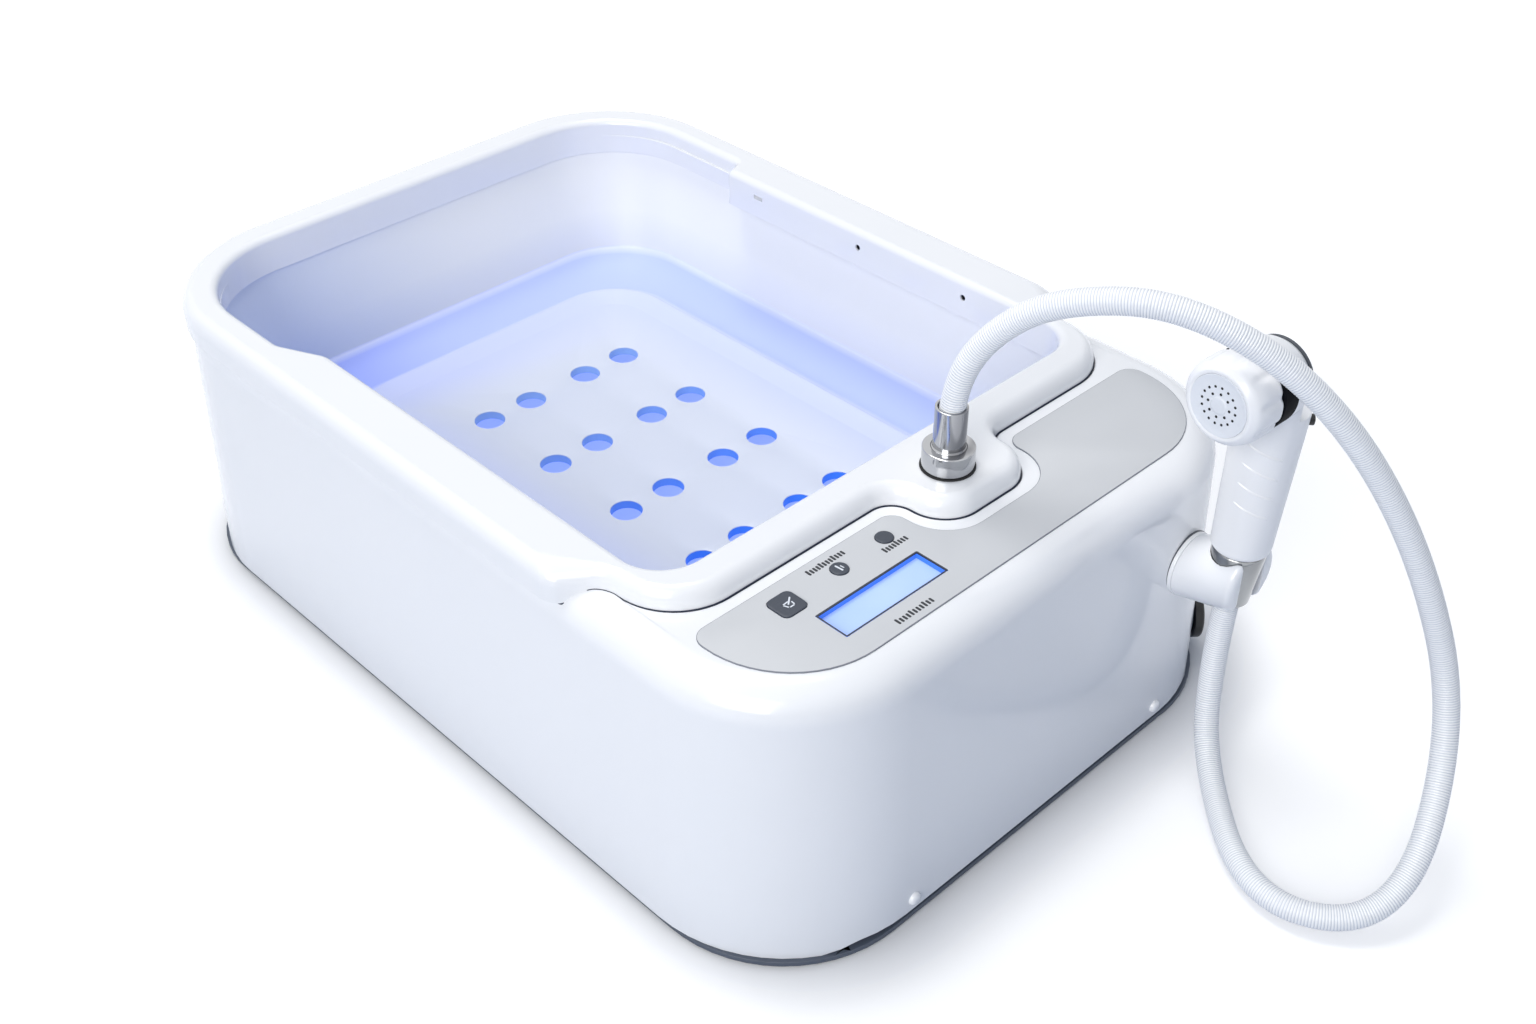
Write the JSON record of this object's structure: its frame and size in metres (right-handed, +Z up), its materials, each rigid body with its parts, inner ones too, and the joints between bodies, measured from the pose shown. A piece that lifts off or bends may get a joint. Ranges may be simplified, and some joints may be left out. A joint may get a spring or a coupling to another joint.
{
  "type": "hydrotherapy basin",
  "caption": "Foot-bath tub with a perforated tray, keyed control deck, ribbed shower hose and a swivelling hand shower standing in a fork on the end wall.",
  "frame": {"origin": "centre of the casing's plan, on the floor plane through the four rubber feet", "axes": "+X to the right across the tub, +Y along the tub away from the control end, +Z up"},
  "size_m": [0.4252, 0.8083, 0.3307],
  "materials": {
    "white_gloss": "gloss",
    "liner_white": "gloss",
    "tray_grey": "satin",
    "base_grey": "satin",
    "foot_rubber": "matt",
    "panel_grey": "satin",
    "key_dark": "satin",
    "clear_window": "polished",
    "display_blue": "gloss",
    "board_green": "satin",
    "post_white": "satin",
    "gasket_black": "matt",
    "polished": "polished",
    "spigot_brass": "satin",
    "hose_white": "gloss",
    "black_plastic": "gloss",
    "trim_dark": "satin",
    "face_grey": "satin",
    "screw_steel": "brushed",
    "pump_black": "satin",
    "motor_paint": "satin",
    "pipe_rubber": "matt",
    "heater_metal": "satin",
    "strip_clear": "gloss"
  },
  "bodies": {
    "basin": {"outer_casing": "white_gloss", "rim_cover": "white_gloss", "tub_liner": "liner_white", "base_pan": "base_grey", "rubber_feet": "foot_rubber", "control_panel": "panel_grey", "display_window": "clear_window", "display_module": "display_blue", "control_board": "board_green", "board_standoffs": "post_white", "fitting_gasket": "gasket_black", "hose_nut": "polished", "hose_ferrule": "polished", "hose_spigot": "spigot_brass", "spigot_backnut": "spigot_brass", "shower_hose": "hose_white", "handset_cone_nut": "polished", "holder_plate": "white_gloss", "holder_fork": "white_gloss", "holder_screw": "screw_steel", "front_plugs": "white_gloss", "side_jets": "polished", "drain_port": "base_grey", "power_inlet": "black_plastic", "pump_housing": "pump_black", "pump_motor": "motor_paint", "pump_cradle": "pump_black", "riser_hose": "pipe_rubber", "suction_hose": "pipe_rubber", "drain_hose": "pipe_rubber", "heater_plate": "heater_metal", "thermostat": "pump_black", "light_strip": "strip_clear"},
    "tray": {"foot_tray": "tray_grey"},
    "menu_button": {"menu_key": "key_dark"},
    "heat_button": {"heat_key": "key_dark"},
    "water_button": {"water_key": "key_dark"},
    "handset": {"handset_body": "white_gloss", "head_band": "black_plastic", "head_trim_ring": "trim_dark", "head_back_cap": "white_gloss"},
    "spray": {"spray_collar": "white_gloss", "spray_face": "face_grey"},
    "stop": {"stop_button": "black_plastic"},
    "rocker": {"power_rocker": "black_plastic"},
    "drain_knob": {"drain_cap": "black_plastic"}
  },
  "joints": [
    {"name": "tray_lift", "type": "slide", "parent": "basin", "child": "tray", "axis": [0, 0, 1], "range_m": [0, 0.11]},
    {"name": "menu_press", "type": "slide", "parent": "basin", "child": "menu_button", "axis": [0, 0, -1], "range_m": [0, 0.001], "stiffness_N_per_m": 900, "springref_m": -0.001},
    {"name": "heat_press", "type": "slide", "parent": "basin", "child": "heat_button", "axis": [0, 0, -1], "range_m": [0, 0.001], "stiffness_N_per_m": 900, "springref_m": -0.001},
    {"name": "water_press", "type": "slide", "parent": "basin", "child": "water_button", "axis": [0, 0, -1], "range_m": [0, 0.001], "stiffness_N_per_m": 900, "springref_m": -0.001},
    {"name": "handset_swivel", "type": "hinge", "parent": "basin", "child": "handset", "pos_m": [0.125, -0.3348, 0.1498], "axis": [0, -0.0349, 0.9994], "range_deg": [-90, 10]},
    {"name": "spray_turn", "type": "hinge", "parent": "handset", "child": "spray", "pos_m": [0.125, -0.33894, 0.26843], "axis": [-0.9976, 0.0697, 0.0024], "range_deg": [0, 90]},
    {"name": "stop_press", "type": "slide", "parent": "handset", "child": "stop", "axis": [-0.6561, 0.7542, 0.0263], "range_m": [0, 0.0015], "stiffness_N_per_m": 900, "springref_m": -0.001},
    {"name": "rocker_tilt", "type": "hinge", "parent": "basin", "child": "rocker", "pos_m": [0.20566, -0.125, 0.062], "axis": [0, 1, 0], "range_deg": [-16, 0]},
    {"name": "drain_turn", "type": "hinge", "parent": "basin", "child": "drain_knob", "pos_m": [0.18632, -0.27527, 0.0275], "axis": [0.7431, -0.6691, 0], "range_deg": [0, 90]}
  ]
}
